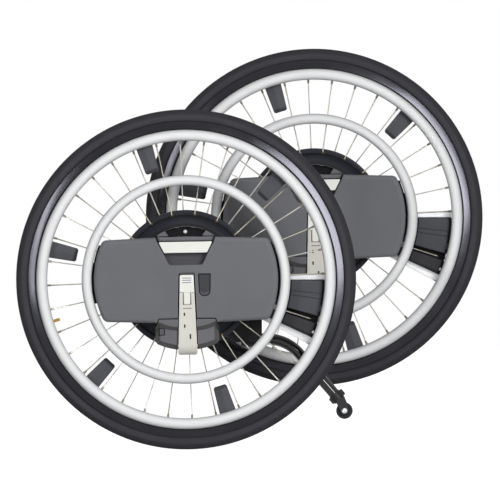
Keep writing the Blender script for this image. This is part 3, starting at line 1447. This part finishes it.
@dataclass
class LockLever(WheelGroup):
    """The battery's locking lever, its sliding latch and their printed stripes."""

    x: float = 1.2
    head_y: float = 8.0
    foot_y: float = -131.0
    latch_y: float = -22.4
    window_y: float = -44.4
    pivot_y: float = -115.0
    top_hw: float = 12.0
    foot_hw: float = 16.8
    top_w: float = 83.0
    low_w: float = 75.0

    def half(self, y: Floats) -> Floats:
        """Half the lever's width at a height, widening evenly from head to foot."""
        return self.top_hw + (self.foot_hw - self.top_hw) * (self.head_y - y) / (self.head_y - self.foot_y)

    def arm(self) -> Skin:
        """A tapered bar that curls under at the foot round the pivot's barrel, with a window for the latch.

        Returns:
            The closed bar and the tongue under the latch.
        """
        curl_r, barrel_r, barrel_w = 17.5, 8, 66
        head, curl_y = self.latch_y - 0.4, self.foot_y + curl_r

        def shape(u: Floats, v: Floats) -> Plan:
            """Gives the bar's plan by width and height, its curled front and its barrelled back."""
            hw = self.half(v) - soft(v - self.foot_y, 4.5)
            curl = curl_r - np.sqrt(np.maximum(curl_r**2 - np.clip(curl_y - v, 0, curl_r) ** 2, 0))
            top = self.top_w - curl - soft(hw * (1 - np.abs(u)), 1.5) - soft(head - v, 0.6)
            low_end = self.window_y + 2.2 * np.abs(u / 0.54) ** 6
            window = (1 - ease(np.abs(u), 0.535, 0.55)) * ease(v - low_end, -0.25, 0.25)
            barrel = barrel_w - np.sqrt(np.maximum(barrel_r**2 - (v - self.pivot_y) ** 2, 0))
            low = np.where(v > -103, self.low_w, np.where(v > -107, barrel_w + (v + 107) * 2.25, barrel))
            return self.x + u * hw, v, top - 3 * window, np.minimum(low, top - 0.4)

        def floor(x: Floats, y: Floats) -> Ints:
            """Picks the finish of the window's floor."""
            return 3 * ((np.abs(x - self.x) < 0.535 * self.half(y)) & (y > self.window_y + 0.6))
        u = merged(lines(-1, 1, 0.115, 11), [-0.55, -0.535, 0.535, 0.55], np.linspace(-0.53, 0.53, 13))
        v = merged(np.linspace(self.foot_y, curl_y, 22), lines(self.foot_y, self.foot_y + 9, 4.5, 2),
                   np.linspace(curl_y + 0.5, -47, 12), np.linspace(-45, -42, 13),
                   [-37, -29, head - 0.6, head - 0.3, head - 0.1, head])
        tongue = slab(oblong(-6.8, -26.4, 9.2, 4, 0.5, 3), self.low_w, 78.5, 0.3)
        return join(block(u, v, shape, floor), tongue)

    @staticmethod
    def stripe(x: float, y: float, wide: float, high: float, w: float) -> Skin:
        """A printed bar with round ends, a tenth of a millimetre proud of its face.

        Args:
            x: Middle of the bar across.
            y: Middle of the bar up.
            wide: Its width.
            high: Its height.
            w: Level of the face.

        Returns:
            The bar.
        """
        r = 0.45 * min(wide, high)
        box = oblong(x - wide / 2, y - high / 2, x + wide / 2, y + high / 2, r, 4)
        return slab(box, w - 0.6, w + 0.1, 0.05)

    def latch(self) -> Skin:
        """The sliding cap: a tapered block with rounded edges, a shallow pad and the tongue of its catch.

        Returns:
            The cap with its catch and stripes.
        """
        top_w = 84.2

        def shape(u: Floats, v: Floats) -> Plan:
            """Gives the cap's plan by width and height, and its crowned top."""
            hw = self.half(v) - soft(self.head_y - v, 1.8) - soft(v - self.latch_y, 0.8)
            pad = (1 - ease(np.abs(u), 0.64, 0.7)) * (ease(v, -19.5, -18.6) - ease(v, -9.0, -8.1))
            drop = soft(hw * (1 - np.abs(u)), 1.4) + soft(self.head_y - v, 1.4)
            drop = drop + soft(v - self.latch_y, 1.0)
            return self.x + u * hw, v, top_w - drop - 0.3 * pad, np.full_like(u, 78.8)
        u = lines(-1, 1, 0.12, 9, (-0.7, -0.64, 0.64, 0.7))
        v = lines(self.latch_y, self.head_y, 1.4, 9, (-19.5, -18.6, -9.0, -8.1))
        tab = rounded([(-4.7, -21.5), (-4.4, -43.0), (6.8, -43.0), (7.1, -21.5)], [0.5, 2, 2, 0.5])
        catch = slab(tab, 80.3, 82.6, 0.6)
        spine = slab(oblong(-1.1, -40, 3.5, -23, 1.2), 82, 82.75, 0.15)
        bars = [self.stripe(self.x, y, 16, 1.4, top_w).dressed(1) for y in (2.5, -1.3, -5.4)]
        return join(block(u, v, shape), catch, spine, *bars)

    def build(self) -> None:
        """Makes the lever and the latch."""
        line = self.stripe(1.5, -50.2, 15.5, 1.5, self.top_w).dressed(1)
        dashes = [self.stripe(*place, self.top_w).dressed(2)
                  for place in ((-3.8, -60.4, 2.8, 6.0), (-3.6, -80.8, 2.7, 6.4), (5.9, -99.2, 2.9, 9.0))]
        bar = join(self.arm(), line, *dashes).around(FACE_TURN)
        self.fit("lever", bar, "lever", [LEVER, STRIPE, INK, SEAM], "lever_cream", "lock_lever", 36)
        cap = self.latch().around(FACE_TURN)
        self.fit("latch_cap", cap, "latch", [BADGE, STRIPE], "lever_cream", "lever_latch", 36)


@dataclass
class AntiTip:
    """The bent anti-tip tube, its sliding foot and castor, and the steel that both wheels share."""

    level: float = -60.0
    run_y: float = -103.9
    corner_x: float = 175.0
    tangent: float = 34.0
    angle: float = 49.0
    run: float = 93.0
    radius: float = 9.75
    castor_r: float = 14.5

    @property
    def foot(self) -> tuple[float, float]:
        """Place of the tube's lower end."""
        reach, a = self.tangent + self.run, math.radians(self.angle)
        return self.corner_x + reach * math.cos(a), self.run_y - reach * math.sin(a)

    @property
    def bolt(self) -> tuple[float, float]:
        """Place of the castor's bolt, out and down from the tube's end."""
        return self.foot[0] + 17.5, self.foot[1] - 29

    def tube(self) -> Skin:
        """A circle carried along a level run, an arc and a sloping run, with a bead at its end.

        Returns:
            The bent tube.
        """
        a = math.radians(self.angle)
        bend = self.tangent / math.tan(a / 2)
        t = np.linspace(0, a, 25)
        start = self.corner_x - self.tangent
        arc = np.c_[start + bend * np.sin(t), self.run_y - bend * (1 - np.cos(t))]
        end = np.array(self.foot)
        slope = np.array([math.cos(a), -math.sin(a)])
        level_run = [(x, self.run_y) for x in (98, 98.5, start - 1)]
        flat = np.concatenate([level_run, arc, [end - 1.2 * slope, end - 0.4 * slope, end]])
        radii = np.full(len(flat), self.radius)
        radii[[0, -1]] -= 0.5
        radii[-2] -= 0.12
        return sweep(np.c_[flat, np.full(len(flat), self.level)], radii, (0, 0, 1), 40)

    def collar(self) -> Skin:
        """The foot's stem, its collar and lug along the tube's own line, and the castor's arm.

        Returns:
            The foot with its bolt.
        """
        x, y = self.foot
        stem = spindle([(-68, 0), (-68, 7), (-67.5, 7.4), (2, 7.4), (2, 0)], 24)
        ring = spindle([(-1, 0), (-1, 10.4), (-0.4, 10.9), (13.4, 10.9), (14.4, 10.2), (14.4, 0)], 40)
        lug = slab(oblong(0.6, -13.8, 12.2, 15.2, 1.6), -5.5, 5.5, 1.2, 1.2)
        head = join(stem, ring, lug).around(-self.angle).at(x, y, self.level)
        corners = [(2, -12), (3.6, -16.5), (8.6, -25.7), (10.4, -31.5), (13, -35.6), (17.5, -37),
                   (22, -35.6), (24.6, -31.5), (24.6, -26), (21.5, -14), (16.5, -2)]
        plate = slab(rounded(corners, [3, 3, 4, 3, 3, 4, 3, 3, 4, 6, 3]), 5, 11, 1.2, 0.8)
        profile = [(0, 13.6), (0.9, 13.6), (1.1, 12.6), (1.8, 13.7), (3.4, 13.4), (4.7, 12.4), (5, 11.6),
                   (5, 10.6), (3, 10.6), (3, -8.4), (5, -8.4), (5, -11.4), (4.4, -12), (0, -12)]
        bolt = revolve(profile, 28).at(*self.bolt, self.level)
        return join(head, plate.at(x, y, self.level), bolt.dressed(1))

    def castor(self) -> Skin:
        """The castor's section turned about its bolt: a crowned tread, a step and a hub ring.

        Returns:
            The castor in its place.
        """
        r = self.castor_r
        half = [(3.06, 5.4), (6.2, 5.4), (6.8, 4.6), (9.6, 4.6), (10.2, 5.6), (r - 2.6, 6.2), (r - 1, 5.4),
                (r - 0.2, 3.4), (r, 1.2)]
        edge = np.array(half + [(a, -b) for a, b in half[::-1]] + half[:1])
        return revolve(edge + (0, -1.65), 64).at(*self.bolt, self.level)

    def build(self) -> None:
        """Makes the arm's pieces and dresses the steel inside the hubs."""
        make("bent_tube", self.tube(), "anti_tip_arm", [TUBE], ["anti_tip_tube"])
        make("tube_foot", self.collar(), "anti_tip_end", [FOOT, ZINC], ["anti_tip_foot"])
        make("castor", self.castor(), "anti_tip_castor", [CASTOR], ["anti_tip_wheel"])
        shared = {"axle_shafts": STEEL, "stator_cores": MOTOR, "stator_coils": COIL,
                  "quick_release_pins": STEEL, "lever_pins": STEEL, "left_torque_plate": COATED,
                  "right_torque_plate": COATED}
        for node, finish in shared.items():
            dress(node, finish)


@dataclass
class Studio:
    """The pale floor, the soft lights and the camera."""

    floor_z: float = -0.296
    step_z: float = 0.109
    fill: float = 0.1
    sensor: float = 36.0
    lens: float = 1700.0
    width: float = 0.8742
    aim: tuple[float, float, float] = (0.1112, 0.13, 0.0512)

    @staticmethod
    def seen(paint: Paint) -> Socket:
        """Returns 1 for what the camera sees, straight or in metal and glass, and 0 for other light."""
        rays = paint.add("LightPath", {}).outputs
        straight = paint.calc("MAXIMUM", rays["Is Camera Ray"], rays["Is Glossy Ray"])
        return paint.calc("MAXIMUM", straight, rays["Is Transmission Ray"])

    def floor(self) -> None:
        """Lays a wide sheet, level under the left wheel and rising smoothly to the right wheel's height."""
        x = np.array([-9.0, 9.0])
        near, far = 0.06, 0.3
        y = np.concatenate([[-9.0, 0.04], np.linspace(near, far, 25), [0.32, 16.0]])
        xx, yy = np.meshgrid(x, y, indexing="ij")
        skin = grid(np.stack([xx, yy, self.floor_z + self.step_z * ease(yy, near, far)], -1))
        mesh = bpy.data.meshes.new("floor")
        mesh.from_pydata(skin.points.tolist(), [], skin.faces.tolist())
        mesh.shade_smooth()
        paint = Paint("floor_white")
        where = paint.add("TexCoord", {}).outputs["Object"]
        tone = paint.ramp(paint.noise(where, (3.0,) * 3), (0.5,) * 3, (0.53,) * 3)
        paint.feed(paint.shader.inputs["Base Color"], tone)
        paint.feed(paint.shader.inputs["Roughness"], 0.9)
        glow = paint.add("Emission", {"Color": (1, 1, 1, 1),
                                      "Strength": paint.calc("MULTIPLY", self.seen(paint), 0.9)})
        both = paint.add("AddShader", {0: paint.shader.outputs[0], 1: glow.outputs[0]})
        paint.feed(paint.tree.nodes["Material Output"].inputs["Surface"], both.outputs[0])
        mesh.materials.append(paint.material)
        sheet = bpy.data.objects.new("floor", mesh)
        bpy.context.scene.collection.objects.link(sheet)

    def world(self) -> None:
        """Fills the room with a low even light; what the camera sees of the room is white."""
        world = bpy.data.worlds.new("room")
        world.use_nodes = True
        bpy.context.scene.world = world
        tree = world.node_tree
        rays = tree.nodes.new("ShaderNodeLightPath").outputs
        shown = None
        for name in ("Is Camera Ray", "Is Glossy Ray", "Is Transmission Ray"):
            both = tree.nodes.new("ShaderNodeMath")
            both.operation = "MAXIMUM"
            both.inputs[1].default_value = self.fill
            tree.links.new(rays[name], both.inputs[0])
            if shown is not None:
                tree.links.new(shown, both.inputs[1])
            shown = both.outputs[0]
        tree.links.new(shown, tree.nodes["Background"].inputs["Strength"])
        tree.nodes["Background"].inputs["Color"].default_value = (1, 1, 1, 1)

    @staticmethod
    def lamp(name: str, place: Sequence[float], at: Sequence[float], size: tuple[float, float],
             power: float, roll: float = 0.0) -> None:
        """Hangs one soft box.

        Args:
            name: The lamp's name.
            place: Where it hangs.
            at: What it faces.
            size: Its width and height.
            power: Its strength in watts.
            roll: How far it is turned about its own beam, in degrees.
        """
        light = bpy.data.lights.new(name, "AREA")
        light.shape = "RECTANGLE"
        light.size, light.size_y = size
        light.energy = power
        holder = bpy.data.objects.new(name, light)
        aim = Vector(at) - Vector(place)
        facing = aim.to_track_quat("-Z", "Y").to_matrix().to_4x4()
        rolled = facing @ Matrix.Rotation(math.radians(roll), 4, "Z")
        holder.matrix_world = Matrix.Translation(place) @ rolled
        bpy.context.scene.collection.objects.link(holder)

    def camera(self) -> None:
        """Sets the camera level and far off on a long lens, so that both wheels are seen square on."""
        lens = bpy.data.cameras.new("camera")
        lens.lens = self.lens
        lens.sensor_width = self.sensor
        lens.clip_start = 1.0
        lens.clip_end = 200.0
        holder = bpy.data.objects.new("camera", lens)
        place = Vector(self.aim) - Vector((0, self.width * self.lens / self.sensor, 0))
        holder.matrix_world = Matrix.Translation(place) @ Matrix.Rotation(math.pi / 2, 4, "X")
        bpy.context.scene.collection.objects.link(holder)
        bpy.context.scene.camera = holder

    def build(self) -> None:
        """Sets up the whole room."""
        self.camera()
        self.floor()
        self.world()
        middle = (0.1, 0.1, 0.05)
        self.lamp("left", (-2.95, -6.6, 0.43), middle, (0.4, 3.45), 124)
        self.lamp("right", (2.58, -6.6, 1.26), middle, (1.2, 2.9), 274, 26)
        self.lamp("top", (0.0, -4.5, 4.5), middle, (2.4, 1.8), 48)
        bpy.context.scene.view_settings.view_transform = "Standard"
        LOG.info("studio set")


def main() -> None:
    """Builds the set in order."""
    logging.basicConfig(level=logging.INFO, format="%(message)s")
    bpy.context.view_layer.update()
    Studio().build()
    for side in Side:
        for part in (SpokedWheel, HubMotor, PushRims, BatteryPack, Dock, LockLever):
            part(side).build()
    AntiTip().build()


if __name__ == "__main__":
    main()
